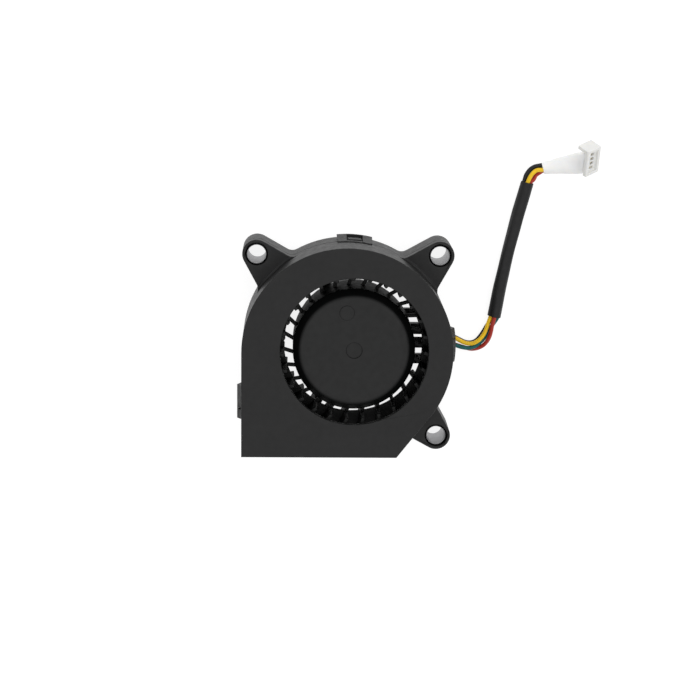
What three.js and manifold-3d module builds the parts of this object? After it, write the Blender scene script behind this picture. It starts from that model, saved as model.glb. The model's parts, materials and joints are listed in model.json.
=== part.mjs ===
// A 50 mm centrifugal blower: a two-part scroll housing with three screw ears, an external-rotor motor
// that carries a ring of blades, and a four-wire lead that ends in a white connector.
// Millimetres. +Z is the rotor axis towards the inlet; the outlet opens towards -Y.
// The origin is on the rotor axis, in the plane of the back face.
import * as THREE from "three";
import { mergeVertices } from "three/addons/utils/BufferGeometryUtils.js";
import Module from "manifold-3d";

const wasm = await Module();
wasm.setup();

// ---------- Driving dimensions ----------
const TAU = 2 * Math.PI;
const degrees = Math.PI / 180;
const seam = 0.1; // air left between pieces that touch or are pressed together

const housing = { depth: 20, parting: 8, wall: 1.3, plate: 1.6, floor: 1.4 };
const scroll = { x: -1.6, y: -0.3, r: 24.75, start: -33.5 * degrees };
const outlet = { left: -26.35, right: 10.2, y: -25.3 };
const inlet = { front: 17.35, back: 18.4 };

const ears = [
  { name: "top_left", x: -23, y: 21.6 },
  { name: "top_right", x: 20.2, y: 21.5 },
  { name: "bottom_right", x: 20.1, y: -22 },
];
const ear = { r: 3.4, bore: 2.65, top: 11, taper: 16 * degrees, fillet: 1.4, turn: 60 * degrees };
const earStep = { r: 25.3, top: 11.4 }; // a low step at each ear's root, concentric with the scroll
const sleeve = { outer: 2.55, inner: 2.17, length: 10.5 };

// A tongue of the cover hangs over the base's wall, which has a catch in the tongue's window. Its outer
// face leans in towards the top.
const clip = { angle: 86.05 * degrees, span: 19 * degrees, proud: 1, topProud: 0.25, bottom: 2.6, top: 9.8 };
const clipWindow = { span: 8.7 * degrees, bottom: 3.2, top: 9.1 };
const clipCatch = { span: 6.9 * degrees, proud: 0.45, bottom: 4.7, top: 7.7 };
// Two wedges on the cover's sides, each with a small pocket.
const wedge = { length: 8.2, proud: 1.2, bottom: 8.6, widest: 11.2, top: 13 };
const wedgePlace = { leftY: -13.7, rightTurn: 1.4 * degrees };
const pocket = { size: 0.55, at: 1.6, depth: 0.3, floor: 10.4 };

const hub = { r: 14.3, wall: 1.6, top: 17.6, topThickness: 1.2, bottom: 3, boss: 2.4 };
const blades = { count: 27, inner: 16.45, outer: 20.5, thickness: 0.85, bottom: 2.1, top: 17.3 };
const web = { bottom: 8.5, top: 9.4, spoke: 0.85 };
const lean = { angle: 27 * degrees, from: 13.6 }; // backward lean of spokes and blades from the radius
const firstBlade = 3.2 * degrees;

const yoke = { outer: 12.6, wall: 0.85, bottom: 3.4, top: 16.3, plate: 0.8, hole: 2.5 };
const magnet = { outer: 11.65, inner: 10.2, bottom: 5, top: 15 };
const shaft = { r: 1, bottom: 2, top: 16.3 };
const tube = { outer: 3.2, inner: 2.6, bottom: 0.9, top: 13.9 };
const bearing = { outer: 2.5, inner: 1.06, height: 2.5, lower: 3.6, upper: 9.6 };
const stator = { r: 9.8, core: 4.6, tooth: 2.6, shoe: 1.1, shoeSpan: 74 * degrees, bottom: 6.6, top: 12.6 };
const coil = { inner: 4.9, outer: 7.8, width: 5.8, bottom: 5, top: 14.2 };
const board = { r: 11.2, hole: 4.7, bottom: 1.5, top: 2.5 };
const base = { r: 14.15, boss: 4.4, bossTop: 4, recess: 0.25 };
const label = { r: 10.4, thickness: 0.15 };

const strutAngles = [118 * degrees, 241 * degrees];
const strutWidth = 3;
// Low and high Y of the ribs towards the wire exit.
const leadRibs = [[5.5, 7.25], [0.95, 3.6], [-2.4, 0.28], [-6.3, -3.95]];
const ribEnd = { x: 20.3, top: 1.75 };
const channel = { low: -2.2, high: 3.5, top: 1.45, start: 11.6 }; // wire channel, open at the back
const wireExit = { top: 2.6, x: 24.2 };

const wire = { r: 0.5, steps: 10 };
const leadSleeve = { near: [34.27, 5.4], far: [41.4, 38.05], bow: 0.49, r: 1.6, z: 1.6 };
const bundle = { pitch: 0.82, nearTurn: 85 * degrees };
const gap = 0.3; // air between a wire's end and the piece it enters

// The connector lies tipped on one corner: its mating face looks up and away from the wires.
const plug = { depth: 3.5, head: 1, width: 7.25, height: 4.2, shoulder: 0.9, x: 54.35, y: 44.8, z: 2.95 };
const tail = { start: 1.2, width: 6.2, height: 2.4 };
const plugTurn = { yaw: -33.5 * degrees, pitch: 44.4 * degrees, roll: 43.9 * degrees };
const cavity = { pitch: 1.25, width: 0.85, height: 1.1, depth: 2.1, recess: 0.5, rim: 0.75 };
// The boot's middle line, and the half width and half height of its section at each point.
const boot = {
  path: [[44.95, 41.4, 1.4], [49.2, 42.1, 1.45], [53.3, 42.75, 1.9]],
  halfWidth: [1.4, 2, 2.6, 2.75],
  halfHeight: [1.3, 1.35, 1.6, 2],
  heading: 16 * degrees, offset: -0.35, gap: 0.25,
};

// Each wire: its turn around the sleeve's axis, and its routes in the channel, before the sleeve and
// after it, chosen by hand so that the wires lie on each other and on the surface.
const wires = [
  {
    name: "yellow", color: 0xe8c22a, turn: 90 * degrees,
    inner: [[11.9, 1.5, 0.65], [18, 1.5, 0.65], [20.4, 1.3, 0.7], [21.8, 0.9, 1.45], [23.9, 0.35, 1.8]],
    near: [[24.2, 0.35, 1.8], [25.27, -0.08, 1.8], [26.28, -0.62, 1.8], [27.3, -1.07, 1.8],
      [28.35, -1.28, 1.8], [29.35, -1.18, 1.8], [30.3, -0.72, 1.84], [31.22, 0.11, 1.81],
      [32.05, 1.36, 1.79], [32.59, 2.69, 1.75], [32.99, 3.99, 1.71]],
    far: [[42.35, 40.05, 2.35], [43.5, 41.0, 2.2], [44.6, 41.1, 2.1]],
  },
  {
    name: "black", color: 0x1c1c1e, turn: 180 * degrees,
    inner: [[11.9, 2.65, 0.65], [18, 2.65, 0.65], [20.4, 2.6, 0.65], [21.8, 1.9, 0.6], [22.9, 0.9, 0.6],
      [23.9, 0.35, 0.6]],
    near: [[24.2, 0.35, 0.6], [25.27, -0.02, 0.6], [26.28, -0.53, 0.6], [27.3, -1.01, 0.6],
      [28.35, -1.22, 0.6], [29.33, -1.11, 0.6], [30.24, -0.62, 0.6], [31.06, 0.28, 0.6],
      [31.88, 1.53, 0.6], [32.61, 2.83, 0.62], [33.33, 3.99, 0.68]],
    far: [[41.15, 40.05, 1.6], [42.55, 41.6, 1.6], [44.6, 42.2, 1.6]],
  },
  {
    name: "red", color: 0xb5342b, turn: 0,
    inner: [[11.9, -1.65, 0.65], [18, -1.65, 0.65], [20.4, -1.65, 0.65], [21.8, -1.65, 0.6],
      [23.9, -1.5, 0.6]],
    near: [[24.2, -1.5, 0.6], [25.4, -1.86, 0.6], [26.6, -2.23, 0.6], [27.79, -2.56, 0.6],
      [28.98, -2.81, 0.6], [30.11, -2.72, 0.63], [31.04, -2.38, 0.8], [31.84, -1.85, 1.12],
      [32.5, -1.07, 1.47], [33.01, -0.21, 1.77], [33.36, 0.77, 2.02], [33.63, 1.99, 2.22],
      [33.82, 3.3, 2.35]],
    far: [[42.85, 38.7, 1.45], [43.45, 39.7, 1.1], [44.6, 40.5, 0.95]],
  },
  {
    name: "green", color: 0x0d6b6b, turn: 270 * degrees,
    inner: [[11.9, -0.6, 0.65], [18, -0.6, 0.65], [20.4, -0.6, 0.7], [21.8, -1.1, 1.5], [23.9, -1.4, 1.8]],
    near: [[24.2, -1.4, 1.8], [25.3, -1.76, 1.8], [26.41, -2.12, 1.79], [27.36, -2.32, 1.76],
      [28.21, -2.38, 1.66], [29.09, -2.28, 1.5], [29.95, -1.96, 1.32], [30.78, -1.37, 1.15],
      [31.55, -0.69, 0.95], [32.2, 0.03, 0.75], [32.78, 0.92, 0.65], [33.36, 1.95, 0.66],
      [33.91, 2.97, 0.81], [34.47, 3.93, 1.16]],
    far: [[42.3, 39.9, 0.65], [43.4, 41.0, 0.6], [44.6, 41.55, 0.6]],
  },
];

// ---------- Materials ----------
function finish(color, roughness, metalness = 0) {
  return new THREE.MeshStandardMaterial({ color, roughness, metalness });
}

const materials = {
  housing: finish(0x2e2e2f, 0.55),
  impeller: finish(0x2a2b2a, 0.6),
  steel: finish(0xc8c8cc, 0.3, 1),
  iron: finish(0x77777a, 0.45, 1),
  magnet: finish(0x3a3836, 0.7),
  brass: finish(0xb9975b, 0.35, 1),
  copper: finish(0xa9562c, 0.35, 1),
  nylon: finish(0xe6e2d6, 0.55),
  board: finish(0x1f5a36, 0.5),
  chip: finish(0x161618, 0.5),
  label: finish(0xd9d9d6, 0.6),
  sleeve: finish(0x1b1b1c, 0.6),
  connector: finish(0xf1f0ec, 0.45),
  contact: finish(0xc9b37a, 0.3, 1),
};

// ---------- Solids ----------
// A closed three.js geometry as a manifold-3d solid.
function solid(geometry) {
  const bare = geometry.clone();
  bare.deleteAttribute("normal");
  bare.deleteAttribute("uv");
  const merged = mergeVertices(bare, 1e-4);
  const vertProperties = new Float32Array(merged.attributes.position.array);
  const triVerts = new Uint32Array(merged.index.array);
  return new wasm.Manifold(new wasm.Mesh({ numProp: 3, vertProperties, triVerts }));
}

const join = (...solids) => solids.reduce((sum, one) => sum.add(one));
const cut = (body, ...tools) => tools.reduce((rest, tool) => rest.subtract(tool), body);

const root = new THREE.Group();

// Adds a solid or a geometry to a group as one named mesh.
function add(name, shape, material, group = root) {
  let geometry = shape;
  if (!shape.isBufferGeometry) {
    const { vertProperties, triVerts } = shape.getMesh();
    geometry = new THREE.BufferGeometry();
    geometry.setAttribute("position", new THREE.BufferAttribute(vertProperties, 3));
    geometry.setIndex(new THREE.BufferAttribute(triVerts, 1));
    geometry.computeVertexNormals();
  }
  const mesh = new THREE.Mesh(geometry, material);
  mesh.name = name;
  group.add(mesh);
  return mesh;
}

function extrude(shape, bottom, top, curveSegments = 12) {
  const depth = top - bottom;
  const geometry = new THREE.ExtrudeGeometry(shape, { depth, bevelEnabled: false, curveSegments });
  return solid(geometry.translate(0, 0, bottom));
}

function circle(r, x = 0, y = 0) {
  return new THREE.Shape().absarc(x, y, r, 0, TAU, false);
}

function disc(r, bottom, top, segments = 24, x = 0, y = 0) {
  return extrude(circle(r, x, y), bottom, top, segments);
}

function ring(inner, outer, bottom, top, segments = 24, x = 0, y = 0) {
  const shape = circle(outer, x, y);
  shape.holes.push(circle(inner, x, y));
  return extrude(shape, bottom, top, segments);
}

function box([x0, y0, z0], [x1, y1, z1]) {
  const geometry = new THREE.BoxGeometry(x1 - x0, y1 - y0, z1 - z0);
  return solid(geometry.translate((x0 + x1) / 2, (y0 + y1) / 2, (z0 + z1) / 2));
}

// Turns a closed profile of radius and height around Z.
function revolve(profile, segments = 96) {
  const points = profile.map(([r, z]) => new THREE.Vector2(r, z));
  return solid(new THREE.LatheGeometry([...points, points[0]], segments).rotateX(Math.PI / 2));
}

// Turns a solid about Z and then moves it.
function place(body, angle, x = 0, y = 0) {
  return body.rotate([0, 0, angle / degrees]).translate([x, y, 0]);
}

// ---------- Housing ----------
// The scroll's outline, moved inwards by inset; extra lengthens it past the outlet's mouth.
function scrollOutline(inset, extra = 0) {
  const r = scroll.r - inset;
  const start = new THREE.Vector2(Math.cos(scroll.start), Math.sin(scroll.start)).multiplyScalar(scroll.r);
  start.add(new THREE.Vector2(scroll.x, scroll.y));
  const mouth = new THREE.Vector2(outlet.right, outlet.y);
  const along = mouth.clone().sub(start).normalize();
  const inwards = new THREE.Vector2(along.y, -along.x).multiplyScalar(inset);
  const end = mouth.clone().add(inwards).addScaledVector(along, extra / Math.abs(along.y));
  return new THREE.Shape()
    .moveTo(outlet.left + inset, outlet.y - extra)
    .lineTo(end.x, end.y)
    .absarc(scroll.x, scroll.y, r, scroll.start, Math.PI, false);
}

// Where a straight line meets the scroll's circle from outside.
function reachScroll(from, direction) {
  const toward = from.clone().sub(new THREE.Vector2(scroll.x, scroll.y));
  const along = toward.dot(direction);
  const distance = -along - Math.sqrt(along ** 2 - toward.lengthSq() + scroll.r ** 2);
  return from.clone().addScaledVector(direction, distance);
}

const heading = (angle) => new THREE.Vector2(Math.cos(angle), Math.sin(angle));

// A screw ear: a round end whose two sides widen towards the scroll and run into it in a curve.
function earOutline({ x, y }) {
  const centre = new THREE.Vector2(x, y);
  const middle = new THREE.Vector2(scroll.x, scroll.y);
  const angle = middle.clone().sub(centre).angle();
  const side = (sign) => {
    const direction = heading(angle + sign * ear.taper);
    const square = heading(angle + sign * (ear.taper + Math.PI / 2));
    const along = heading(angle + sign * (ear.taper + ear.turn));
    const foot = reachScroll(centre.clone().addScaledVector(square, ear.r), direction);
    const bend = foot.clone().addScaledVector(direction, -ear.fillet);
    const end = foot.clone().addScaledVector(along, ear.fillet);
    return { foot, bend, end, inside: end.clone().lerp(middle, 0.2) };
  };
  const left = side(1);
  const right = side(-1);
  return new THREE.Shape()
    .absarc(x, y, ear.r, angle + Math.PI / 2 + ear.taper, angle - Math.PI / 2 - ear.taper, false)
    .lineTo(right.bend.x, right.bend.y)
    .quadraticCurveTo(right.foot.x, right.foot.y, right.end.x, right.end.y)
    .lineTo(right.inside.x, right.inside.y)
    .lineTo(left.inside.x, left.inside.y)
    .lineTo(left.end.x, left.end.y)
    .quadraticCurveTo(left.foot.x, left.foot.y, left.bend.x, left.bend.y);
}

// Ears between two heights, with their bores, clear of the hollow inside the scroll.
function withEars(body, hollow, bottom, top) {
  const lugs = ears.map((one) => extrude(earOutline(one), bottom, top, 8));
  const bores = ears.map(({ x, y }) => disc(ear.bore, bottom - 1, top + 1, 12, x, y));
  return cut(join(body, ...lugs), hollow, ...bores);
}

// A block that follows the scroll's wall where the clip is, between two radii.
function clipBlock(inner, outer, span, bottom, top) {
  const shape = new THREE.Shape()
    .absarc(0, 0, outer, -span / 2, span / 2, false)
    .absarc(0, 0, inner, span / 2, -span / 2, true);
  return place(extrude(shape, bottom, top, 6), clip.angle, scroll.x, scroll.y);
}

// The tongue, which is joined to the cover's wall above the parting, with its window.
function clipTongue() {
  const tip = scroll.r + clip.proud;
  const hanging = clipBlock(scroll.r + seam, tip, clip.span, clip.bottom, clip.top);
  const joined = clipBlock(scroll.r - 0.5, tip, clip.span, housing.parting + seam, clip.top);
  const leaning = revolve([[scroll.r - 2, 0], [tip + 0.1, 0], [tip + 0.1, clip.bottom],
    [scroll.r + clip.topProud, clip.top], [scroll.r - 2, clip.top]]);
  const opening = clipBlock(scroll.r, tip + 1, clipWindow.span, clipWindow.bottom, clipWindow.top);
  return cut(join(hanging, joined).intersect(place(leaning, 0, scroll.x, scroll.y)), opening);
}

// A wedge's section, with radius or distance outwards and height.
function wedgeProfile(wall) {
  return [[wall - 0.4, wedge.bottom], [wall, wedge.bottom], [wall + wedge.proud, wedge.widest],
    [wall, wedge.top], [wall - 0.4, wedge.top]];
}

// The left wall is straight and the right wall follows the scroll, and so do their wedges.
function sideWedges() {
  const half = wedge.length / 2;
  const low = pocket.at - pocket.size / 2;
  const hole = box([pocket.depth, low, pocket.floor],
    [pocket.depth + pocket.size, low + pocket.size, wedge.top]);
  const section = new THREE.Shape(wedgeProfile(0).map((point) => new THREE.Vector2(...point)));
  const left = extrude(section, -half, half).rotate([90, 0, 0]);
  const band = box([scroll.r - 2, -half, 0], [scroll.r + 2, half, housing.depth]);
  const right = revolve(wedgeProfile(scroll.r)).intersect(band);
  return [
    place(cut(left, hole), Math.PI, outlet.left, wedgePlace.leftY),
    place(cut(right, place(hole, 0, scroll.r)), wedgePlace.rightTurn, scroll.x, scroll.y),
  ];
}

function frameBase() {
  const outer = extrude(scrollOutline(0), 0, housing.parting, 32);
  const hollow = extrude(scrollOutline(housing.wall, 4), housing.floor, housing.parting + 1, 32);
  const tip = scroll.r + clipCatch.proud;
  const latch = clipBlock(scroll.r - 0.5, tip, clipCatch.span, clipCatch.bottom, clipCatch.top);
  let body = withEars(join(outer, latch), hollow, 0, housing.parting);
  body = cut(body, disc(inlet.back, -1, housing.floor + 1, 32));

  // The motor base stands in the back inlet on two struts and on the ribs of the wire channel.
  const reach = inlet.back + 0.8;
  const struts = strutAngles.map((angle) => {
    const strut = box([base.r - 1, -strutWidth / 2, 0], [reach, strutWidth / 2, housing.floor]);
    return place(strut, angle);
  });
  const ribs = leadRibs.map(([low, high]) => box([channel.start, low, 0], [ribEnd.x, high, ribEnd.top]));
  const seat = ring(tube.outer + seam, base.boss, housing.floor - 0.2, base.bossTop, 12);
  body = join(body, disc(base.r, 0, housing.floor, 24), ...struts, ...ribs, seat);

  const wires = box([channel.start, channel.low, -1], [wireExit.x + 1, channel.high, channel.top]);
  const slot = box([ribEnd.x + 1, channel.low, -1], [wireExit.x + 1, channel.high, wireExit.top]);
  const slit = box([channel.start, leadRibs[2][1], -1], [inlet.back, leadRibs[1][0], ribEnd.top + 1]);
  const labelRecess = disc(label.r + seam, -1, base.recess, 24);
  const tubeSeat = disc(tube.outer + seam, tube.bottom - seam, 6, 12);
  return cut(body, wires, slot, slit, labelRecess, tubeSeat);
}

function frontCover() {
  const bottom = housing.parting + seam;
  const outer = extrude(scrollOutline(0), bottom, housing.depth, 32);
  const hollow = extrude(scrollOutline(housing.wall, 4), bottom - 1, housing.depth - housing.plate, 32);
  const around = disc(earStep.r, 0, housing.depth, 32, scroll.x, scroll.y);
  const steps = ears.map((one) => extrude(earOutline(one), bottom, earStep.top, 8).intersect(around));
  const shell = join(outer, clipTongue(), ...sideWedges(), ...steps);
  return cut(withEars(shell, hollow, bottom, ear.top), disc(inlet.front, 0, housing.depth + 1, 32));
}

// ---------- Impeller and rotor ----------
// Where a line that leans back from the radius, starting just inside the hub's wall, reaches radius r.
function leaningPoint(r, offset) {
  const direction = heading(-lean.angle);
  const along = -lean.from * direction.x + Math.sqrt(r * r - (lean.from * direction.y) ** 2);
  const normal = new THREE.Vector2(-direction.y, direction.x);
  return new THREE.Vector2(lean.from, 0).addScaledVector(direction, along).addScaledVector(normal, offset);
}

function leaningBar(from, to, width, bottom, top) {
  const corners = [[from, -0.5], [to, -0.5], [to, 0.5], [from, 0.5]];
  return extrude(new THREE.Shape(corners.map(([r, side]) => leaningPoint(r, side * width))), bottom, top);
}

function impeller() {
  const cup = ring(hub.r - hub.wall, hub.r, hub.bottom, hub.top - 0.2, 24);
  const top = disc(hub.r, hub.top - hub.topThickness, hub.top, 24);
  const boss = disc(hub.boss, hub.top - hub.topThickness - 1.6, hub.top - 0.5, 12);
  const annulus = ring(blades.inner, blades.outer - 0.3, web.bottom, web.top, 24);
  let body = join(cup, top, boss, annulus);
  for (let i = 0; i < blades.count; i++) {
    const angle = firstBlade + i * TAU / blades.count;
    const spoke = leaningBar(hub.r - 0.3, blades.inner + 0.4, web.spoke, web.bottom, web.top);
    const blade = leaningBar(blades.inner, blades.outer, blades.thickness, blades.bottom, blades.top);
    body = join(body, place(spoke, angle), place(blade, angle));
  }
  return cut(body, disc(shaft.r + seam, 0, shaft.top + seam, 12));
}

// ---------- Motor ----------
// The core's outline with its four teeth, narrowed by inset for the insulators.
function statorShape(inset) {
  const shape = new THREE.Shape();
  const half = stator.tooth / 2 - inset;
  const hubEdge = Math.sqrt((stator.core - inset) ** 2 - half ** 2);
  const shoeInner = stator.r - stator.shoe;
  const points = [];
  for (let i = 0; i < 4; i++) {
    const turn = i * Math.PI / 2;
    const spread = stator.shoeSpan / 2 - inset / stator.r;
    const tooth = [[hubEdge, -half], [shoeInner, -half]];
    for (const r of [shoeInner, stator.r - inset]) {
      tooth.push([r * Math.cos(spread), -r * Math.sin(spread)]);
    }
    for (const share of [-0.6, -0.2, 0.2, 0.6]) {
      const r = stator.r - inset;
      tooth.push([r * Math.cos(share * spread), r * Math.sin(share * spread)]);
    }
    for (const r of [stator.r - inset, shoeInner]) {
      tooth.push([r * Math.cos(spread), r * Math.sin(spread)]);
    }
    tooth.push([shoeInner, half], [hubEdge, half]);
    for (const [x, y] of tooth) points.push(new THREE.Vector2(x, y).rotateAround(new THREE.Vector2(), turn));
  }
  shape.setFromPoints(points);
  return shape;
}

function statorPiece(inset, bottom, top) {
  return cut(extrude(statorShape(inset), bottom, top), disc(tube.outer + seam, bottom - 1, top + 1, 12));
}

function windingCoil() {
  const half = coil.width / 2;
  const slot = stator.tooth / 2 + seam;
  const block = box([coil.inner, -half, coil.bottom], [coil.outer, half, coil.top]);
  const tooth = box([coil.inner - 1, -slot, stator.bottom - 0.8], [coil.outer + 1, slot, stator.top + 0.8]);
  const corners = [-1, 1].flatMap((side) => [coil.bottom, coil.top].map((z) => {
    const chamfer = box([coil.inner - 1, -0.8, -0.8], [coil.outer + 1, 0.8, 0.8]).rotate([45, 0, 0]);
    return chamfer.translate([0, side * half, z]);
  }));
  return cut(block, tooth, ...corners);
}

function addMotor() {
  add("bearing_tube", ring(tube.inner, tube.outer, tube.bottom, tube.top, 12), materials.brass);
  for (const [name, bottom] of [["lower", bearing.lower], ["upper", bearing.upper]]) {
    const race = ring(bearing.inner, bearing.outer, bottom, bottom + bearing.height, 12);
    add(`${name}_bearing`, race, materials.steel);
  }
  add("stator_core", statorPiece(0, stator.bottom, stator.top), materials.iron);
  add("upper_insulator", statorPiece(0.2, stator.top + seam, stator.top + 0.7), materials.nylon);
  add("lower_insulator", statorPiece(0.2, stator.bottom - 0.7, stator.bottom - seam), materials.nylon);
  for (let i = 0; i < 4; i++) {
    add(`winding_coil_${i + 1}`, place(windingCoil(), i * Math.PI / 2), materials.copper);
  }
  add("circuit_board", ring(board.hole, board.r, board.bottom, board.top, 16), materials.board);
  const top = board.top + seam;
  add("hall_sensor", place(box([8.2, -1.5, top], [9.8, 1.5, top + 1.1]), 45 * degrees), materials.chip);
  add("driver_chip", place(box([6, -2, top], [9.4, 2, top + 1.2]), 135 * degrees), materials.chip);
  add("capacitor", place(box([6.6, -0.9, top], [8.6, 0.9, top + 1.4]), 225 * degrees), materials.nylon);
  add("back_label", disc(label.r, 0, label.thickness, 24), materials.label);
}

function addRotor() {
  const rotor = new THREE.Group();
  add("impeller", impeller(), materials.impeller, rotor);
  const cup = ring(yoke.outer - yoke.wall, yoke.outer, yoke.bottom, yoke.top, 24);
  const plate = ring(yoke.hole, yoke.outer - 0.2, yoke.top - yoke.plate, yoke.top, 24);
  add("rotor_yoke", join(cup, plate), materials.iron, rotor);
  const band = ring(magnet.inner, magnet.outer, magnet.bottom, magnet.top, 24);
  add("rotor_magnet", band, materials.magnet, rotor);
  add("rotor_shaft", disc(shaft.r, shaft.bottom, shaft.top, 12), materials.steel, rotor);
  add("retaining_washer", ring(shaft.r + seam, 2.1, 2.6, 2.9, 12), materials.nylon, rotor);
  root.add(rotor);
}

// ---------- Lead ----------
const sleeveNear = new THREE.Vector3(...leadSleeve.near, leadSleeve.z);
const sleeveFar = new THREE.Vector3(...leadSleeve.far, leadSleeve.z);
const sleeveAxis = sleeveFar.clone().sub(sleeveNear).normalize();
const sleeveRight = new THREE.Vector3(sleeveAxis.y, -sleeveAxis.x, 0);

// A point of the sleeve's middle line, which bows to the left.
function alongSleeve(share) {
  const bow = 4 * leadSleeve.bow * share * (1 - share);
  return sleeveNear.clone().lerp(sleeveFar, share).addScaledVector(sleeveRight, -bow);
}

// Where a wire stands around the sleeve's axis, beside the sleeve's near or far end.
function inBundle(end, turn, clearance) {
  const across = sleeveRight.clone().multiplyScalar(bundle.pitch * Math.cos(turn));
  const point = end.clone().addScaledVector(sleeveAxis, clearance).add(across);
  point.z += bundle.pitch * Math.sin(turn);
  return point;
}

function tubeAlong(points, r, steps, sides = 8) {
  const path = new THREE.CatmullRomCurve3(points);
  const section = new THREE.Shape(circle(r).getPoints(sides).slice(0, sides));
  return new THREE.ExtrudeGeometry(section, { steps, extrudePath: path, curveSegments: 1 });
}

const vectors = (points) => points.map((point) => new THREE.Vector3(...point));

function addWire({ name, color, turn, inner, near, far }) {
  const material = finish(color, 0.45);
  const nearRoute = [...vectors(near), inBundle(sleeveNear, turn + bundle.nearTurn, -gap)];
  const farRoute = [inBundle(sleeveFar, turn, gap), ...vectors(far)];
  add(`${name}_inner_lead`, tubeAlong(vectors(inner), wire.r, wire.steps), material);
  add(`${name}_wire`, tubeAlong(nearRoute, wire.r, wire.steps), material);
  add(`${name}_wire_end`, tubeAlong(farRoute, wire.r, wire.steps / 2), material);
}

// A closed skin through rings of points, with flat ends.
function loft(rings) {
  const sides = rings[0].length;
  const positions = rings.flat();
  const index = [];
  for (let i = 0; i + 1 < rings.length; i++) {
    for (let j = 0; j < sides; j++) {
      const [a, b] = [i * sides + j, i * sides + (j + 1) % sides];
      index.push(a, b, b + sides, a, b + sides, a + sides);
    }
  }
  const last = (rings.length - 1) * sides;
  for (let j = 1; j + 1 < sides; j++) {
    index.push(0, j + 1, j, last, last + j, last + j + 1);
  }
  return new THREE.BufferGeometry().setFromPoints(positions).setIndex(index);
}

const plugPlace = new THREE.Object3D();
plugPlace.position.set(plug.x, plug.y, plug.z);
plugPlace.rotation.set(plugTurn.roll, -plugTurn.pitch, plugTurn.yaw, "ZYX");
plugPlace.updateMatrixWorld();

// The connector in its own frame: +X is the mating direction, the back face is at x = 0. The tail goes
// into the boot; the shoulder stands beside it and the head in front of it.
function plugBody(clearance = 0) {
  const [w, h, c] = [plug.width / 2, plug.height / 2, clearance];
  const headStart = plug.depth - plug.head;
  const head = box([headStart - c, -w - c, -h - c], [plug.depth, w + c, h + c]);
  const stem = box([tail.start - c, w - 0.1 - tail.width - c, -tail.height / 2 - c],
    [headStart + 0.1, w - 0.1, tail.height / 2 + c]);
  const shoulder = box([-c, w - plug.shoulder - c, -h - c], [headStart + 0.1, w + c, h + c]);
  return join(head, stem, shoulder);
}

// The boot widens, squares up and turns from the wires to the connector, whose tail it holds.
function bootBody() {
  const lip = plugPlace.localToWorld(new THREE.Vector3(plug.depth - plug.head - boot.gap, boot.offset, 0));
  const path = new THREE.CatmullRomCurve3([...vectors(boot.path), lip]);
  const level = new THREE.Quaternion().setFromAxisAngle(new THREE.Vector3(0, 0, 1), boot.heading);
  const steps = 6;
  const between = (values, t) => {
    const i = Math.min(Math.floor(t * 3), 2);
    return THREE.MathUtils.lerp(values[i], values[i + 1], t * 3 - i);
  };
  const rings = Array.from({ length: steps + 1 }, (_, i) => {
    const t = i / steps;
    const turn = level.clone().slerp(plugPlace.quaternion, t ** 2.5);
    const power = THREE.MathUtils.lerp(1, 0.6, t);
    return Array.from({ length: 16 }, (_unused, j) => {
      const [c, s] = [Math.cos(j * TAU / 16), Math.sin(j * TAU / 16)];
      const across = between(boot.halfWidth, t) * Math.sign(c) * Math.abs(c) ** power;
      const up = between(boot.halfHeight, t) * Math.sign(s) * Math.abs(s) ** power;
      return new THREE.Vector3(0, across, up).applyQuaternion(turn).add(path.getPoint(t));
    });
  });
  return cut(solid(loft(rings)), plugBody(seam).transform(plugPlace.matrixWorld.elements));
}

function addConnector() {
  const group = new THREE.Group();
  group.applyMatrix4(plugPlace.matrixWorld);
  const mouth = box([plug.depth - cavity.recess, cavity.rim - plug.width / 2, cavity.rim - plug.height / 2],
    [plug.depth + 1, plug.width / 2 - cavity.rim, plug.height / 2 - cavity.rim]);
  const rows = [0, 1, 2, 3].map((i) => (i - 1.5) * cavity.pitch);
  const cavities = rows.map((y) => box([plug.depth - cavity.depth, y - cavity.width / 2, -cavity.height / 2],
    [plug.depth + 1, y + cavity.width / 2, cavity.height / 2]));
  add("connector_housing", cut(plugBody(), mouth, ...cavities), materials.connector, group);
  rows.forEach((y, i) => {
    const start = plug.depth - cavity.depth + seam;
    const contact = box([start, y - 0.25, -0.35], [plug.depth - 1, y + 0.25, 0.35]);
    add(`contact_${i + 1}`, contact, materials.contact, group);
  });
  root.add(group);
}

function addLead() {
  wires.forEach(addWire);
  const path = [0, 0.25, 0.5, 0.75, 1].map(alongSleeve);
  add("heat_shrink_sleeve", tubeAlong(path, leadSleeve.r, 4, 12), materials.sleeve);
  add("connector_boot", bootBody(), materials.connector);
  addConnector();
}

// ---------- Assembly ----------
add("frame_base", frameBase(), materials.housing);
add("front_cover", frontCover(), materials.housing);
for (const { name, x, y } of ears) {
  add(`${name}_ear_sleeve`, ring(sleeve.inner, sleeve.outer, 0, sleeve.length, 12, x, y), materials.steel);
}
addMotor();
addRotor();
addLead();

export default root;
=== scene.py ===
"""A small centrifugal blower with a short four-wire lead, on a plain pale floor.

Metres. +Z is the rotor axis, from the back face on the floor to the inlet. The outlet opens towards -Y.
"""

import json
import math

import bmesh
import bpy
from mathutils import Euler, Matrix, Vector

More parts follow.
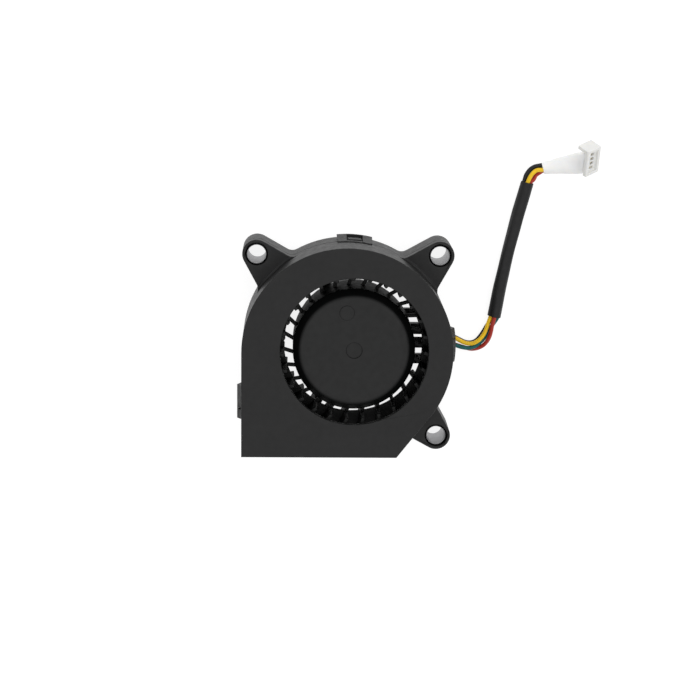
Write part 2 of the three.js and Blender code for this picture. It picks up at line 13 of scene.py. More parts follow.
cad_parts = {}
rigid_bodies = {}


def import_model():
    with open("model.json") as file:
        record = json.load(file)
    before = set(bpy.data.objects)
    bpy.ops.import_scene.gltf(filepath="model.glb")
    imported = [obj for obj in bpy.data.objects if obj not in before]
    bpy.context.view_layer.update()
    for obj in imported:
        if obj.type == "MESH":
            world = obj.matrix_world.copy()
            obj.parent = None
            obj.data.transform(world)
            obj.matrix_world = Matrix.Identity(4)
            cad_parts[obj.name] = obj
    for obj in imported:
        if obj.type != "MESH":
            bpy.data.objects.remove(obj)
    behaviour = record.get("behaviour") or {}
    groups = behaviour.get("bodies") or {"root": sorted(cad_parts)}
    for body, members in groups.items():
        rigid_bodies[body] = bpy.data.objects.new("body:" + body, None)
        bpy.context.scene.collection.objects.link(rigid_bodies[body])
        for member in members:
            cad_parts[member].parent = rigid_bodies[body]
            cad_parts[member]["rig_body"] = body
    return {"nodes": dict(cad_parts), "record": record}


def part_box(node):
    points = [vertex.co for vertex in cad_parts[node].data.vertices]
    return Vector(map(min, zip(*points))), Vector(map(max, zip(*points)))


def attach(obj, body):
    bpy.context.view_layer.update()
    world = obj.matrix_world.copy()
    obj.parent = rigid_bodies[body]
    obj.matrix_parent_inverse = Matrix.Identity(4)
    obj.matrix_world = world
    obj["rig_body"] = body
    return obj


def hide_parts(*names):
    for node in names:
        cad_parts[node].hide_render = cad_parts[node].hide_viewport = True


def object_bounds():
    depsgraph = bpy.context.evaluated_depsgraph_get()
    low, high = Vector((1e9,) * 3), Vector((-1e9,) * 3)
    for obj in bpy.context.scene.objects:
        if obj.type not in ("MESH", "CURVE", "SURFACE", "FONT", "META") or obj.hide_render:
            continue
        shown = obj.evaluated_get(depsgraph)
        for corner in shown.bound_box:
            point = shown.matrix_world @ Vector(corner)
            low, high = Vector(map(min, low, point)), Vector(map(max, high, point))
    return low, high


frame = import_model()
CAD_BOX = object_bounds()
NODES = frame["nodes"]
MM = 0.001

# ---------- Driving dimensions, in millimetres unless they say otherwise ----------
CAMERA_PLACE = (-13.95, 87.61, 448.9)
CAMERA_TURN = (-11.48, -1.58, 0.70)  # degrees
CAMERA_FIELD = 21.07  # degrees across
WALL_LIGHT = 0.25  # the room's brightness at the horizon
CEILING_LIGHT = 1.12  # and overhead
CEILING_FROM = 0.9  # the upward share of a direction from which it counts as overhead
FLOOR_GLOW = 0.86
FLOOR_GAP = 0.03  # air under the back face

HUB_R = 14.4
HUB_TOP = 17.6
HUB_BOTTOM = 3.0
HUB_WALL = 1.6
HUB_LID = 1.2  # thickness of its top
HUB_SLOPE = (1.6, 1.8)  # its upper edge is cut away, across and down
HUB_SLOPE_ROUNDS = (0.5, 1.9)  # radii at the slope's lower and upper end
HUB_DISH_R = 1.88  # a shallow dish in the middle of the hub
HUB_DISH_DEPTH = 0.25
HUB_MARK_R = 1.75  # a low round mark beside it
HUB_MARK_RISE = 0.13
HUB_MARK_ROOT = 0.3  # how far the mark goes down into the hub
HUB_MARK_PLACE = (-1.75, 8.9)
BLADE_COUNT = 27
BLADE_INNER = 16.45
BLADE_OUTER = 20.5
BLADE_THICK = 0.85
BLADE_BOTTOM = 2.1
BLADE_TOP = 17.3
WEB_BOTTOM = 8.5  # the spokes and the ring that carry the blades
WEB_TOP = 9.4
WEB_SETBACK = 0.3  # from the blades' tips to the ring's rim
SPOKE_ROOT = 0.3  # how far the spokes run into the hub's wall
SPOKE_TIP = 0.4  # and past the blades' inner ends
BLADE_LEAN = math.radians(27)  # backward lean of spokes and blades from the radius
LEAN_FROM = 13.6  # the radius where that angle is measured
FIRST_BLADE = math.radians(3.2)

SLEEVE_OUTER = 2.55  # the steel sleeves in the ears
SLEEVE_INNER = 2.17
SLEEVE_TAPER = (0.3, 0.8)  # across and along

BASE_LEVELS = (0, 8)  # heights of the level edges that are rounded: back and parting face
COVER_LEVELS = (8.1, 11, 20)  # parting face, ear tops and front face
EDGE_ROUND = {"base": 0.15, "cover": 0.2, "blades": 0.14, "tube": 0.1, "boot": 0.12, "connector": 0.12}

WIRE_R = 0.5
INTO_BOOT = 0.9  # how far the wires run on into the boot
SHRINK_NEAR = Vector((34.27, 5.4, 1.6))
SHRINK_FAR = Vector((41.4, 38.05, 1.6))
SHRINK_BOW = 0.49  # to the left, half way along
SHRINK_R = (1.6, 1.5)  # near and far
SHRINK_WALL = 0.25
BUNDLE_PITCH = 0.82  # from the sleeve's middle line to each wire's
BUNDLE_NEAR_TURN = 85  # degrees by which the four wires are twisted along the sleeve
BUNDLE_STUB = 0.3  # how far they run straight outside its ends

PLUG_PLACE = Vector((54.35, 44.8, 2.95))  # the connector's own frame
PLUG_TURN = Euler((math.radians(43.9), math.radians(-44.4), math.radians(-33.5)))
LIP_AT = 2.25  # where the boot ends, along the connector's mating direction
BOOT_OFFSET = -0.35  # the boot's end from the connector's middle, across
BOOT_PATH = [(44.95, 41.4, 1.4), (49.2, 42.1, 1.45), (53.3, 42.75, 1.9)]
BOOT_HALF_WIDTH = (1.4, 2.0, 2.6, 2.75)  # at the three points of its path and at its end
BOOT_HALF_HEIGHT = (1.3, 1.35, 1.6, 2.0)
BOOT_HEADING = math.radians(16)  # at the wires, from +X

# Each wire's turn around the sleeve's axis in degrees, and its route before the sleeve and after it.
WIRES = {
    "yellow": {
        "turn": 90,
        "near": [(24.2, 0.35, 1.8), (25.27, -0.08, 1.8), (26.28, -0.62, 1.8), (27.3, -1.07, 1.8),
                 (28.35, -1.28, 1.8), (29.35, -1.18, 1.8), (30.3, -0.72, 1.84), (31.22, 0.11, 1.81),
                 (32.05, 1.36, 1.79), (32.59, 2.69, 1.75), (32.99, 3.99, 1.71)],
        "far": [(42.35, 40.05, 2.35), (43.5, 41.0, 2.2), (44.6, 41.1, 2.1)],
    },
    "black": {
        "turn": 180,
        "near": [(24.2, 0.35, 0.6), (25.27, -0.02, 0.6), (26.28, -0.53, 0.6), (27.3, -1.01, 0.6),
                 (28.35, -1.22, 0.6), (29.33, -1.11, 0.6), (30.24, -0.62, 0.6), (31.06, 0.28, 0.6),
                 (31.88, 1.53, 0.6), (32.61, 2.83, 0.62), (33.33, 3.99, 0.68)],
        "far": [(41.15, 40.05, 1.6), (42.55, 41.6, 1.6), (44.6, 42.2, 1.6)],
    },
    "red": {
        "turn": 0,
        "near": [(24.2, -1.5, 0.6), (25.4, -1.86, 0.6), (26.6, -2.23, 0.6), (27.79, -2.56, 0.6),
                 (28.98, -2.81, 0.6), (30.11, -2.72, 0.63), (31.04, -2.38, 0.8), (31.84, -1.85, 1.12),
                 (32.5, -1.07, 1.47), (33.01, -0.21, 1.77), (33.36, 0.77, 2.02), (33.63, 1.99, 2.22),
                 (33.82, 3.3, 2.35)],
        "far": [(42.85, 38.7, 1.45), (43.45, 39.7, 1.1), (44.6, 40.5, 0.95)],
    },
    "green": {
        "turn": 270,
        "near": [(24.2, -1.4, 1.8), (25.3, -1.76, 1.8), (26.41, -2.12, 1.79), (27.36, -2.32, 1.76),
                 (28.21, -2.38, 1.66), (29.09, -2.28, 1.5), (29.95, -1.96, 1.32), (30.78, -1.37, 1.15),
                 (31.55, -0.69, 0.95), (32.2, 0.03, 0.75), (32.78, 0.92, 0.65), (33.36, 1.95, 0.66),
                 (33.91, 2.97, 0.81), (34.47, 3.93, 1.16)],
        "far": [(42.3, 39.9, 0.65), (43.4, 41.0, 0.6), (44.6, 41.55, 0.6)],
    },
}


# ---------- Materials ----------
class Shader:
    """A node material around one Principled BSDF, with object coordinates in metres."""

    def __init__(self, name, roughness, metallic=0.0, specular=0.5):
        self.material = bpy.data.materials.new(name)
        self.material.use_nodes = True
        self.tree = self.material.node_tree
        self.bsdf = self.tree.nodes["Principled BSDF"]
        self.bsdf.inputs["Roughness"].default_value = roughness
        self.bsdf.inputs["Metallic"].default_value = metallic
        self.bsdf.inputs["Specular IOR Level"].default_value = specular
        self.place = self.tree.nodes.new("ShaderNodeTexCoord").outputs["Object"]

    def link(self, source, target):
        self.tree.links.new(source, target)

    def stretch(self, scale):
        mapping = self.tree.nodes.new("ShaderNodeMapping")
        mapping.inputs["Scale"].default_value = scale
        self.link(self.place, mapping.inputs["Vector"])
        return mapping.outputs["Vector"]

    def noise(self, scale, detail=3.0, place=None):
        node = self.tree.nodes.new("ShaderNodeTexNoise")
        node.inputs["Scale"].default_value = scale
        node.inputs["Detail"].default_value = detail
        self.link(place or self.place, node.inputs["Vector"])
        return node.outputs["Fac"]

    def waves(self, scale, direction, distortion=0.0):
        node = self.tree.nodes.new("ShaderNodeTexWave")
        node.bands_direction = direction
        node.inputs["Scale"].default_value = scale
        node.inputs["Distortion"].default_value = distortion
        self.link(self.place, node.inputs["Vector"])
        return node.outputs["Fac"]

    def spread(self, factor, low, high, start=0.3, end=0.7):
        """Stretches a factor to a new range. A noise mostly lies between the default start and end."""
        node = self.tree.nodes.new("ShaderNodeMapRange")
        node.inputs["From Min"].default_value = start
        node.inputs["From Max"].default_value = end
        node.inputs["To Min"].default_value = low
        node.inputs["To Max"].default_value = high
        self.link(factor, node.inputs["Value"])
        return node.outputs["Result"]

    def color(self, factor, dark, light):
        ramp = self.tree.nodes.new("ShaderNodeValToRGB")
        ramp.color_ramp.elements[0].position = 0.3
        ramp.color_ramp.elements[0].color = (*dark, 1)
        ramp.color_ramp.elements[1].position = 0.7
        ramp.color_ramp.elements[1].color = (*light, 1)
        self.link(factor, ramp.inputs["Fac"])
        self.link(ramp.outputs["Color"], self.bsdf.inputs["Base Color"])

    def paint_side_shade(self, side, level):
        """Paints shade on the sides: sets how much the sides reflect, and how much the faces that look
        straight up do, so the sides read darker.
        """
        normal = self.tree.nodes.new("ShaderNodeTexCoord").outputs["Normal"]
        split = self.tree.nodes.new("ShaderNodeSeparateXYZ")
        self.link(normal, split.inputs["Vector"])
        # painted shade: reflection fades from the level faces down to the sides
        fade = self.spread(split.outputs["Z"], side, level, 0.8, 0.98)
        self.link(fade, self.bsdf.inputs["Specular IOR Level"])

    def rough(self, factor, low, high):
        self.link(self.spread(factor, low, high), self.bsdf.inputs["Roughness"])

    def bump(self, factor, depth, strength=1.0):
        node = self.tree.nodes.new("ShaderNodeBump")
        node.inputs["Distance"].default_value = depth
        node.inputs["Strength"].default_value = strength
        self.link(factor, node.inputs["Height"])
        self.link(node.outputs["Normal"], self.bsdf.inputs["Normal"])


def tint(color, factor):
    return tuple(channel * factor for channel in color)


def flow_marked(name, color, roughness, variation, specular=0.5):
    """A shader with a moulded plastic's faint flow marks and uneven gloss."""
    shader = Shader(name, roughness, specular=specular)
    shader.color(shader.noise(180, 4), tint(color, 1 - variation), tint(color, 1 + variation))
    shader.rough(shader.noise(700, 2), roughness - 0.05, roughness + 0.06)
    return shader


def moulded(name, color, roughness, variation=0.12):
    """Moulded plastic with a spark-eroded grain."""
    shader = flow_marked(name, color, roughness, variation, 0.32)
    shader.bump(shader.noise(9000, 2), 0.00001)
    return shader.material


def moulded_with_painted_side_shade(name, color, roughness):
    """Moulded plastic with painted shade on its sides: its level faces reflect more than its sides."""
    shader = flow_marked(name, color, roughness, 0.12)
    # painted shade: the sides reflect less than the level faces
    shader.paint_side_shade(0.03, 0.37)
    return shader.material


def soft_white(name, color, roughness):
    """Translucent white plastic."""
    shader = Shader(name, roughness)
    shader.color(shader.noise(350, 3), tint(color, 0.96), color)
    shader.bsdf.inputs["Subsurface Weight"].default_value = 0.25
    shader.bsdf.inputs["Subsurface Radius"].default_value = (0.0012, 0.0011, 0.0009)
    shader.bsdf.inputs["Subsurface Scale"].default_value = 1.0
    shader.bump(shader.noise(2500, 2), 0.000012)
    return shader.material


def insulation(name, color):
    """Extruded wire insulation, smooth with faint drawing lines."""
    shader = Shader(name, 0.38, specular=0.3)
    shader.color(shader.noise(500, 3), tint(color, 0.85), tint(color, 1.1))
    shader.rough(shader.noise(1500, 2), 0.32, 0.46)
    shader.bump(shader.noise(2600, 2), 0.000015)
    return shader.material


def shrink_tube(name, color):
    """Heat-shrink tube: satin, with fine wrinkles across it and soft lumps."""
    shader = Shader(name, 0.5, specular=0.3)
    shader.color(shader.noise(300, 4), tint(color, 0.8), tint(color, 1.3))
    shader.rough(shader.noise(900, 3), 0.42, 0.6)
    shader.bump(shader.noise(1, 4, shader.stretch((900, 350, 900))), 0.00006, 0.7)
    return shader.material


def metal(name, color, roughness, scratch):
    """Metal with fine marks; scratch is the noise's stretch in X, Y and Z."""
    shader = Shader(name, roughness, 1.0)
    marks = shader.noise(1, 3, shader.stretch(scratch))
    shader.color(marks, tint(color, 0.85), color)
    shader.rough(marks, roughness - 0.06, roughness + 0.1)
    shader.bump(marks, 0.000004)
    return shader.material


def laminated(name, color, sheet):
    """Stacked iron sheets: thin dark lines between them along Z."""
    shader = Shader(name, 0.45, 0.9)
    shader.color(shader.noise(900, 3), tint(color, 0.8), tint(color, 1.15))
    shader.bump(shader.waves(1 / sheet, "Z"), 0.00003)
    return shader.material


def wound(name, color, pitch):
    """Enamelled wire, its turns standing side by side."""
    shader = Shader(name, 0.3, 0.6)
    shader.color(shader.noise(1200, 3), tint(color, 0.7), tint(color, 1.2))
    shader.bump(shader.waves(1 / pitch, "Z", 1.5), 0.00008)
    return shader.material


def speckled(name, dark, light, roughness, scale):
    """A fired, bonded or coated surface with two-tone specks."""
    shader = Shader(name, roughness)
    specks = shader.noise(scale, 4)
    shader.color(specks, dark, light)
    shader.rough(specks, roughness - 0.05, roughness + 0.05)
    shader.bump(specks, 0.000008)
    return shader.material


MATERIALS = {
    "housing_plastic": moulded("housing_plastic", (0.008, 0.008, 0.0082), 0.5),
    # the impeller's sloped and upright faces carry painted shade through their lower reflection
    "impeller_plastic": moulded_with_painted_side_shade("impeller_plastic", (0.003, 0.0032, 0.0032), 0.52),
    "ear_sleeve_steel": metal("ear_sleeve_steel", (0.36, 0.36, 0.37), 0.38, (900, 900, 9000)),
    "bearing_steel": metal("bearing_steel", (0.62, 0.62, 0.64), 0.22, (600, 600, 9000)),
    "bearing_tube_brass": metal("bearing_tube_brass", (0.62, 0.46, 0.2), 0.3, (400, 400, 8000)),
    "motor_iron": laminated("motor_iron", (0.3, 0.3, 0.31), 0.0005),
    "magnet_rubber": speckled("magnet_rubber", (0.03, 0.03, 0.03), (0.06, 0.058, 0.055), 0.65, 2500),
    "nylon": moulded("nylon", (0.72, 0.7, 0.62), 0.5, variation=0.05),
    "winding_copper": wound("winding_copper", (0.45, 0.13, 0.04), 0.0003),
    "board_green": speckled("board_green", (0.01, 0.09, 0.03), (0.02, 0.15, 0.06), 0.35, 700),
    "chip_black": moulded("chip_black", (0.02, 0.02, 0.02), 0.55),
    "capacitor_ceramic": speckled("capacitor_ceramic", (0.4, 0.3, 0.18), (0.52, 0.42, 0.28), 0.5, 3000),
    "label_film": speckled("label_film", (0.62, 0.62, 0.6), (0.7, 0.7, 0.69), 0.4, 1500),
    "wire_yellow": insulation("wire_yellow", (0.86, 0.54, 0.012)),
    "wire_black": insulation("wire_black", (0.009, 0.009, 0.01)),
    "wire_red": insulation("wire_red", (0.38, 0.028, 0.016)),
    "wire_green": insulation("wire_green", (0.0, 0.1, 0.1)),
    "sleeve_black": shrink_tube("sleeve_black", (0.008, 0.008, 0.0083)),
    "boot_white": soft_white("boot_white", (0.9, 0.9, 0.895), 0.5),
    "connector_white": soft_white("connector_white", (0.77, 0.77, 0.755), 0.45),
    "contact_brass": metal("contact_brass", (0.72, 0.62, 0.38), 0.3, (3000, 3000, 3000)),
}


# ---------- Helpers ----------
def new_piece(name, data, slot, body, *replaced):
    """Links a mesh or curve as a piece that rides on a body and stands for CAD nodes."""
    piece = bpy.data.objects.new(name, data)
    bpy.context.scene.collection.objects.link(piece)
    data.materials.clear()
    data.materials.append(MATERIALS[slot])
    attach(piece, body)
    if replaced:
        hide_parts(*replaced)
    return piece


def mesh_from(bm, name):
    """A smooth-shaded mesh from a bmesh in millimetres."""
    bmesh.ops.recalc_face_normals(bm, faces=bm.faces)
    bm.transform(Matrix.Scale(MM, 4))
    mesh = bpy.data.meshes.new(name)
    bm.to_mesh(mesh)
    bm.free()
    mesh.shade_smooth()
    return mesh


def add_bevel(piece, width, segments):
    bevel = piece.modifiers.new("rounding", "BEVEL")
    bevel.width = width * MM
    bevel.segments = segments
    return bevel


def soften(piece, width, angle=30):
    """Rounds a piece's edges that are sharper than an angle, and keeps its flats flat."""
    bevel = add_bevel(piece, width, 2)
    bevel.limit_method = "ANGLE"
    bevel.angle_limit = math.radians(angle)
    bevel.harden_normals = True


def keep_flats(piece, angle=35):
    """Shades a piece smooth except across edges that are sharper than an angle."""
    piece.data.set_sharp_from_angle(angle=math.radians(angle))
    piece.modifiers.new("flats", "WEIGHTED_NORMAL").keep_sharp = True


def skin(bm, rings, closed=False):
    """Joins rings of points into a skin, and leaves its ends open or joins the last to the first."""
    made = [[bm.verts.new(point) for point in ring] for ring in rings]
    pairs = list(zip(made, made[1:]))
    if closed:
        pairs.append((made[-1], made[0]))
    for low, high in pairs:
        for i in range(len(low)):
            j = (i + 1) % len(low)
            bm.faces.new((low[i], low[j], high[j], high[i]))
    return made


def rounded(corners, radii):
    """A closed outline whose corners are replaced by arcs of these radii."""
    steps = 8
    points = []
    for i, (corner, radius) in enumerate(zip(corners, radii)):
        corner = Vector(corner)
        if not radius:
            points.append(corner)
            continue
        before = (Vector(corners[i - 1]) - corner).normalized()
        after = (Vector(corners[(i + 1) % len(corners)]) - corner).normalized()
        half = before.angle(after) / 2
        reach = radius / math.tan(half)
        centre = corner + (before + after).normalized() * (radius / math.sin(half))
        start, end = corner + before * reach - centre, corner + after * reach - centre
        for step in range(steps + 1):
            share = step / steps
            points.append(centre + (start * (1 - share) + end * share).normalized() * radius)
    return points


def lathe(bm, profile, centre=(0, 0), segments=96):
    """Turns a closed profile of (radius, z) around an upright axis."""
    turns = [2 * math.pi * i / segments for i in range(segments)]
    rings = [[Vector((centre[0] + r * math.cos(a), centre[1] + r * math.sin(a), z)) for a in turns]
             for r, z in profile]
    skin(bm, rings, closed=True)


def prism(bm, outline, bottom, top):
    """An upright prism from a plan outline."""
    low = [bm.verts.new((x, y, bottom)) for x, y in outline]
    high = [bm.verts.new((x, y, top)) for x, y in outline]
    for i in range(len(low)):
        j = (i + 1) % len(low)
        bm.faces.new((low[i], low[j], high[j], high[i]))
    bm.faces.new(low[::-1])
    bm.faces.new(high)


def refined_copy(node, name, slot, width, heights=None, segments=3):
    """A copy of a CAD node's shape with its edges rounded, which stands for the node.

    Heights are those of the level edges to round, in millimetres; without them every sharp edge is.
    """
    bm = bmesh.new()
    bm.from_mesh(NODES[node].data)
    bmesh.ops.remove_doubles(bm, verts=bm.verts, dist=1e-7)
    weight = bm.edges.layers.float.new("bevel_weight_edge")
    for edge in bm.edges:
        if edge.calc_face_angle(0) < math.radians(30):
            continue
        low, high = sorted(vertex.co.z / MM for vertex in edge.verts)
        if heights is None or (high - low < 0.001 and any(abs(low - z) < 0.02 for z in heights)):
            edge[weight] = 1
    mesh = bpy.data.meshes.new(name)
    bm.to_mesh(mesh)
    bm.free()
    mesh.shade_smooth()
    piece = new_piece(name, mesh, slot, NODES[node]["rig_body"], node)
    bevel = add_bevel(piece, width, segments)
    bevel.limit_method = "WEIGHT"
    bevel.use_clamp_overlap = False
    keep_flats(piece, 20)
    return piece


# ---------- Camera ----------
def add_camera():
    camera = bpy.data.objects.new("camera", bpy.data.cameras.new("camera"))
    camera.location = Vector(CAMERA_PLACE) * MM
    camera.rotation_euler = [math.radians(angle) for angle in CAMERA_TURN]
    camera.data.angle = math.radians(CAMERA_FIELD)
    camera.data.clip_start = 0.01
    bpy.context.scene.collection.objects.link(camera)
    bpy.context.scene.camera = camera


# ---------- Lead ----------
SHRINK_AXIS = (SHRINK_FAR - SHRINK_NEAR).normalized()
SHRINK_RIGHT = Vector((SHRINK_AXIS.y, -SHRINK_AXIS.x, 0))


def shrink_point(share):
    """A point of the heat-shrink tube's middle line."""
    bow = 4 * SHRINK_BOW * share * (1 - share)
    return SHRINK_NEAR.lerp(SHRINK_FAR, share) - SHRINK_RIGHT * bow


def in_bundle(middle, turn, along=0.0):
    """Where a wire stands around the sleeve's axis, a distance along from a point of its middle line."""
    angle = math.radians(turn)
    point = middle + SHRINK_AXIS * along + SHRINK_RIGHT * (BUNDLE_PITCH * math.cos(angle))
    point.z += BUNDLE_PITCH * math.sin(angle)
    return point


def wire_route(wire):
    """A wire's whole route: from the housing, through the sleeve and into the boot."""
    near = [Vector(point) for point in wire["near"]]
    near.append(in_bundle(SHRINK_NEAR, wire["turn"] + BUNDLE_NEAR_TURN, -BUNDLE_STUB))
    inside = []
    for share in (0.1, 0.3, 0.5, 0.7, 0.9):
        inside.append(in_bundle(shrink_point(share), wire["turn"] + BUNDLE_NEAR_TURN * (1 - share)))
    far = [in_bundle(SHRINK_FAR, wire["turn"], BUNDLE_STUB)]
    far += [Vector(point) for point in wire["far"]]
    far.append(far[-1] + (far[-1] - far[-2]).normalized() * INTO_BOOT)
    return near + inside + far


def route_curve(name, points, radius):
    """A smooth round cord through points, as one open spline."""
    curve = bpy.data.curves.new(name, "CURVE")
    curve.dimensions = "3D"
    spline = curve.splines.new("BEZIER")
    spline.bezier_points.add(len(points) - 1)
    for bezier, point in zip(spline.bezier_points, points):
        bezier.co = point * MM
        bezier.handle_left_type = bezier.handle_right_type = "AUTO"
    curve.bevel_depth = radius * MM
    curve.bevel_resolution = 6
    curve.resolution_u = 10
    curve.use_fill_caps = True
    return curve


def add_shrink_tube():
    """The heat-shrink tube, with open ends. Four lobes follow the wires, and two waves make it lumpy."""
    steps, sides = 60, 40

    def ring(share, inset):
        base = SHRINK_R[0] + (SHRINK_R[1] - SHRINK_R[0]) * share - inset
        points = []
        for j in range(sides):
            angle = 2 * math.pi * j / sides
            lobes = 0.035 * math.cos(4 * (angle - math.radians(BUNDLE_NEAR_TURN * (1 - share))))
            lump = 0.03 * math.sin(9 * share + 2 * angle) + 0.02 * math.sin(23 * share - angle)
            r = base + lobes + lump
            point = shrink_point(share) + SHRINK_RIGHT * (r * math.cos(angle))
            point.z = max(point.z + r * math.sin(angle), 0.02)
            points.append(point)
        return points

    shares = [i / steps for i in range(steps + 1)]
    outer = [ring(share, 0) for share in shares]
    inner = [ring(share, SHRINK_WALL) for share in reversed(shares)]
    bm = bmesh.new()
    skin(bm, outer + inner, closed=True)
    piece = new_piece("shrink_tube", mesh_from(bm, "shrink_tube"), "sleeve_black", "housing",
                      "heat_shrink_sleeve")
    soften(piece, EDGE_ROUND["tube"], 50)
    return piece


def plug_point(x, y, z):
    """A point of the connector's own frame, where +X is the mating direction, in the row frame."""
    return PLUG_TURN.to_matrix() @ Vector((x, y, z)) + PLUG_PLACE


def add_boot():
    """The soft boot: an oval at the wires that widens, squares up and turns to the connector."""
    lip = plug_point(LIP_AT, BOOT_OFFSET, 0)
    knots = [Vector(point) for point in BOOT_PATH] + [lip]
    level = Euler((0, 0, BOOT_HEADING)).to_quaternion()
    tipped = PLUG_TURN.to_quaternion()
    steps, sides = 30, 48
    spans = len(BOOT_PATH)

    def blend(values, t):
        i = min(int(t * spans), spans - 1)
        return values[i] + (values[i + 1] - values[i]) * (t * spans - i)

    def middle(t):
        """The middle line: a smooth curve through the knots."""
        i = min(int(t * spans), spans - 1)
        before = knots[i - 1] if i else knots[0] * 2 - knots[1]
        after = knots[i + 2] if i < spans - 1 else knots[-1] * 2 - knots[-2]
        a, b, u = knots[i], knots[i + 1], t * spans - i
        slope_a, slope_b = (b - before) / 2, (after - a) / 2
        return (a * (2 * u ** 3 - 3 * u ** 2 + 1) + slope_a * (u ** 3 - 2 * u ** 2 + u)
                + b * (3 * u ** 2 - 2 * u ** 3) + slope_b * (u ** 3 - u ** 2))

    def ring(t, scale=1.0, back=0.0):
        """A section that squares up along the boot, and turns to the connector's tilt near the end."""
        turn = level.slerp(tipped, t ** 2.5)
        power = 1 - 0.4 * t
        centre = middle(t) - turn @ Vector((back, 0, 0))
        points = []
        for j in range(sides):
            c, s = math.cos(2 * math.pi * j / sides), math.sin(2 * math.pi * j / sides)
            across = scale * blend(BOOT_HALF_WIDTH, t) * math.copysign(abs(c) ** power, c)
            up = scale * blend(BOOT_HALF_HEIGHT, t) * math.copysign(abs(s) ** power, s)
            points.append(turn @ Vector((0, across, up)) + centre)
        return points

    rings = [ring(0, 0.3), ring(0, 0.88)]
    rings += [ring(i / steps) for i in range(steps + 1)]
    rings += [ring(1, 0.9), ring(1, 0.88, 0.6)]
    bm = bmesh.new()
    made = skin(bm, rings)
    bm.faces.new(made[0])
    bm.faces.new(made[-1])
    piece = new_piece("boot", mesh_from(bm, "boot"), "boot_white", "housing", "connector_boot")
    soften(piece, EDGE_ROUND["boot"], 50)
    return piece


def add_lead():
    tube = add_shrink_tube()
    boot = add_boot()
    connector = refined_copy("connector_housing", "connector", "connector_white", EDGE_ROUND["connector"],
                             segments=2)
    for color, wire in WIRES.items():
        route = wire_route(wire)
        curve = route_curve(f"{color}_cord", route, WIRE_R)
        cord = new_piece(f"{color}_cord", curve, f"wire_{color}", "housing",
                         f"{color}_wire", f"{color}_wire_end")


# ---------- Impeller ----------
def leaning_point(r, offset):
    """Where a line that leans back from the radius, starting in the hub's wall, reaches a radius."""
    direction = Vector((math.cos(-BLADE_LEAN), math.sin(-BLADE_LEAN)))
    along = -LEAN_FROM * direction.x + math.sqrt(r * r - (LEAN_FROM * direction.y) ** 2)
    normal = Vector((-direction.y, direction.x))
    return Vector((LEAN_FROM, 0)) + direction * along + normal * offset


def leaning_bar(bm, angle, start, end, width, bottom, top):
    corners = [leaning_point(r, side * width) for r, side in
               ((start, -0.5), (end, -0.5), (end, 0.5), (start, 0.5))]
    turn = Matrix.Rotation(angle, 2)
    prism(bm, [turn @ corner for corner in corners], bottom, top)


def add_impeller():
    inner = HUB_R - HUB_WALL
    under = HUB_TOP - HUB_LID
    dish = HUB_TOP - HUB_DISH_DEPTH
    across, down = HUB_SLOPE
    profile = rounded([(HUB_R, HUB_BOTTOM), (HUB_R, HUB_TOP - down), (HUB_R - across, HUB_TOP),
                       (HUB_DISH_R, HUB_TOP), (HUB_DISH_R, dish), (0.02, dish), (0.02, under),
                       (inner, under), (inner, HUB_BOTTOM)],
                      [0.1, *HUB_SLOPE_ROUNDS, 0.1, 0, 0, 0, 0.3, 0.1])
    bm = bmesh.new()
    lathe(bm, profile, segments=128)
    hub = new_piece("impeller_hub", mesh_from(bm, "impeller_hub"), "impeller_plastic", "rotor", "impeller")
    keep_flats(hub)

    rim = BLADE_OUTER - WEB_SETBACK
    bm = bmesh.new()
    lathe(bm, [(BLADE_INNER, WEB_BOTTOM), (rim, WEB_BOTTOM), (rim, WEB_TOP), (BLADE_INNER, WEB_TOP)])
    for i in range(BLADE_COUNT):
        angle = FIRST_BLADE + 2 * math.pi * i / BLADE_COUNT
        leaning_bar(bm, angle, HUB_R - SPOKE_ROOT, BLADE_INNER + SPOKE_TIP, BLADE_THICK, WEB_BOTTOM, WEB_TOP)
        leaning_bar(bm, angle, BLADE_INNER, BLADE_OUTER, BLADE_THICK, BLADE_BOTTOM, BLADE_TOP)
    blades = new_piece("impeller_blades", mesh_from(bm, "impeller_blades"), "impeller_plastic", "rotor",
                       "impeller")
    soften(blades, EDGE_ROUND["blades"])


def add_hub_mark():
    """The low round mark that the moulding tool leaves on the hub."""
    root = HUB_TOP - HUB_MARK_ROOT
    face = HUB_TOP + HUB_MARK_RISE
    profile = rounded([(0.01, root), (HUB_MARK_R, root), (HUB_MARK_R, face), (0.01, face)], [0, 0, 0.1, 0])
    bm = bmesh.new()
    lathe(bm, profile, centre=HUB_MARK_PLACE, segments=64)
    mark = new_piece("hub_mark", mesh_from(bm, "hub_mark"), "impeller_plastic", "rotor", "impeller")
    keep_flats(mark)


# ---------- Housing ----------
def add_ear_sleeve(node):
    """A drawn steel sleeve, tapered outside at both ends."""
    low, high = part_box(node)
    centre = (low + high) / 2 / MM
    bottom, top = low.z / MM, high.z / MM
    across, along = SLEEVE_TAPER
    tip = SLEEVE_OUTER - across
    profile = rounded([(SLEEVE_INNER, bottom), (tip, bottom), (SLEEVE_OUTER, bottom + along),
                       (SLEEVE_OUTER, top - along), (tip, top), (SLEEVE_INNER, top)],
                      [0.03, 0.03, 0.3, 0.3, 0.03, 0.03])
    bm = bmesh.new()
    lathe(bm, profile, centre=(centre.x, centre.y), segments=64)
    piece = new_piece(f"{node}_drawn", mesh_from(bm, node), "ear_sleeve_steel", "housing", node)
    keep_flats(piece)


def add_housing():
    refined_copy("frame_base", "base_moulding", "housing_plastic", EDGE_ROUND["base"], BASE_LEVELS)
    refined_copy("front_cover", "cover_moulding", "housing_plastic", EDGE_ROUND["cover"], COVER_LEVELS)
    for node in ("top_left_ear_sleeve", "top_right_ear_sleeve", "bottom_right_ear_sleeve"):
        add_ear_sleeve(node)


# ---------- Carried-over CAD nodes ----------
SLOT_OF = {part["node"]: part["material_slot"] for part in frame["record"]["subparts"]}


def dress_cad_nodes():
    for node, obj in NODES.items():
        obj.data.materials.clear()
        obj.data.materials.append(MATERIALS[SLOT_OF[node]])


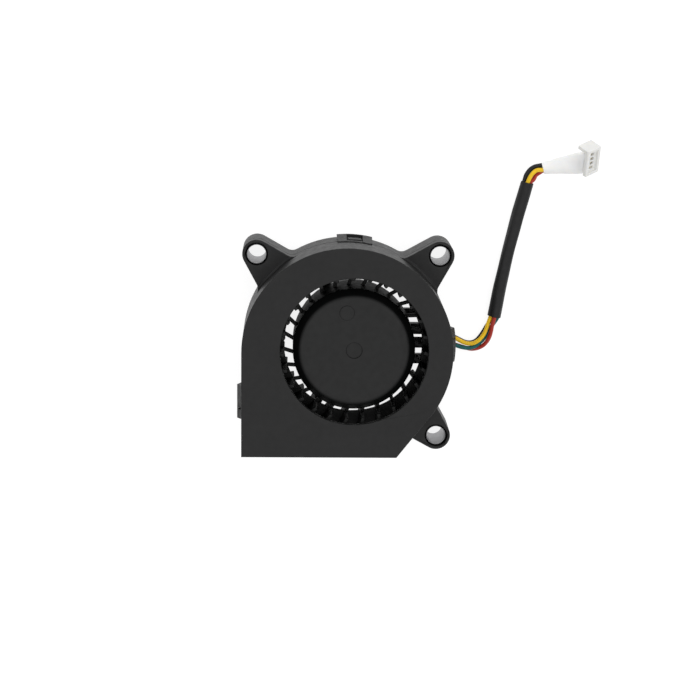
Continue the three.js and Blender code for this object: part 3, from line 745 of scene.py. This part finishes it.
# ---------- Stage ----------
def floor_material():
    """A lit white table: it glows, and still takes a faint shadow."""
    shader = Shader("floor", 0.9)
    shader.color(shader.noise(6, 2), (0.24, 0.24, 0.24), (0.26, 0.26, 0.26))
    shader.bsdf.inputs["Emission Color"].default_value = (1, 1, 1, 1)
    shader.bsdf.inputs["Emission Strength"].default_value = FLOOR_GLOW
    return shader.material


def add_floor():
    bm = bmesh.new()
    bmesh.ops.create_grid(bm, x_segments=1, y_segments=1, size=2)
    mesh = bpy.data.meshes.new("floor")
    bm.to_mesh(mesh)
    bm.free()
    mesh.materials.append(floor_material())
    floor = bpy.data.objects.new("floor", mesh)
    floor.location.z = CAD_BOX[0][2] - FLOOR_GAP * MM
    bpy.context.scene.collection.objects.link(floor)


def add_softbox(name, place, size, power):
    """An oblong light that faces the part; its place and size in metres, its power in watts."""
    light = bpy.data.lights.new(name, "AREA")
    light.shape = "RECTANGLE"
    light.size, light.size_y = size
    light.energy = power
    lamp = bpy.data.objects.new(name, light)
    lamp.location = place
    lamp.rotation_euler = (-Vector(place)).to_track_quat("-Z", "Y").to_euler()
    bpy.context.scene.collection.objects.link(lamp)


def add_studio():
    """A white room, darker towards its walls than overhead."""
    world = bpy.data.worlds.new("studio")
    world.use_nodes = True
    nodes, links = world.node_tree.nodes, world.node_tree.links
    background = nodes["Background"]
    background.inputs["Color"].default_value = (1, 1, 1, 1)
    direction = nodes.new("ShaderNodeTexCoord").outputs["Generated"]
    split = nodes.new("ShaderNodeSeparateXYZ")
    links.new(direction, split.inputs["Vector"])
    fade = nodes.new("ShaderNodeMapRange")
    fade.inputs["From Max"].default_value = CEILING_FROM
    fade.inputs["To Min"].default_value = WALL_LIGHT
    fade.inputs["To Max"].default_value = CEILING_LIGHT
    links.new(split.outputs["Z"], fade.inputs["Value"])
    links.new(fade.outputs["Result"], background.inputs["Strength"])
    bpy.context.scene.world = world


def add_light():
    add_studio()
    add_softbox("low_softbox", (0.15, 0.95, 0.26), (1.1, 0.26), 1.6)
    add_softbox("right_softbox", (0.8, 0.3, 0.6), (0.5, 0.5), 1.4)
    bpy.context.scene.view_settings.view_transform = "Standard"


add_camera()
add_lead()
add_impeller()
add_hub_mark()
add_housing()
dress_cad_nodes()
add_floor()
add_light()
